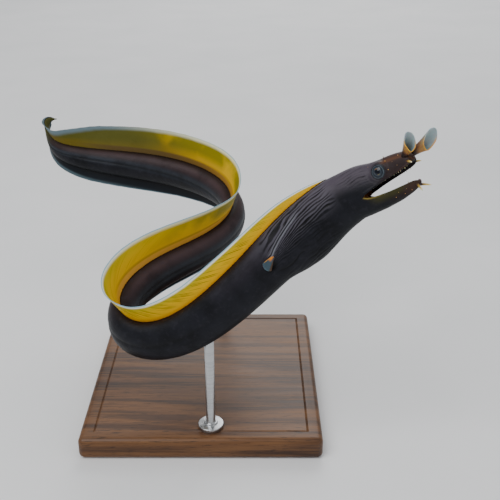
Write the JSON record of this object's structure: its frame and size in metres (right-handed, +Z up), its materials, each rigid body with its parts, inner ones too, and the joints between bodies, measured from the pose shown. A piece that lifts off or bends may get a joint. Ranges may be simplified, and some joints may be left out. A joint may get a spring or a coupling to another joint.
{
  "type": "ribbon eel model",
  "caption": "Life-size ribbon eel swimming in an S with open mouth, flared nostril leaves and ribbon fins, on a flat base with rods.",
  "frame": {"origin": "middle of the underside of the stand's base", "axes": "+Z up, +X towards the head's end of the swimming curve, -Y towards the side that shows the head's right cheek"},
  "size_m": [0.2204, 0.2012, 0.1699],
  "materials": {
    "brown_skin": "wet brown-black scaleless skin",
    "black_skin": "wet blue-black scaleless skin",
    "yellow_fin": "yellow fin membrane with a pale edge",
    "dark_fin": "black fin membrane with a pale blue edge",
    "blue_leaf": "thin pale blue-grey membrane on a golden tube",
    "gold_flesh": "pale golden flesh",
    "eye": "glossy silver-blue eye with a dark pupil",
    "walnut": "oiled walnut",
    "steel": "brushed"
  },
  "bodies": {
    "root": {"head": "brown_skin", "lower_jaw": "brown_skin", "eye_R": "eye", "eye_L": "eye", "nostril_R": "blue_leaf", "nostril_L": "blue_leaf", "snout_barbel_R": "gold_flesh", "snout_barbel_L": "gold_flesh", "chin_barbel_R": "gold_flesh", "chin_barbel_L": "gold_flesh", "neck": "black_skin", "pectoral_R": "blue_leaf", "pectoral_L": "blue_leaf", "body_front": "black_skin", "body_left_bend_a": "black_skin", "body_left_bend_b": "black_skin", "body_middle": "black_skin", "body_right_bend_a": "black_skin", "body_right_bend_b": "black_skin", "body_rear": "black_skin", "tail": "black_skin", "tail_tip": "black_skin", "dorsal_fin_1": "yellow_fin", "dorsal_fin_2": "yellow_fin", "dorsal_fin_3": "yellow_fin", "dorsal_fin_4": "yellow_fin", "dorsal_fin_5": "yellow_fin", "dorsal_fin_6": "yellow_fin", "dorsal_fin_7": "yellow_fin", "dorsal_fin_8": "yellow_fin", "dorsal_fin_9": "yellow_fin", "dorsal_fin_10": "yellow_fin", "anal_fin_1": "dark_fin", "anal_fin_2": "dark_fin", "anal_fin_3": "dark_fin", "anal_fin_4": "dark_fin", "anal_fin_5": "dark_fin", "anal_fin_6": "dark_fin", "anal_fin_7": "dark_fin", "stand_base": "walnut", "stand_rod_front": "steel", "stand_rod_rear": "steel"}
  },
  "joints": []
}
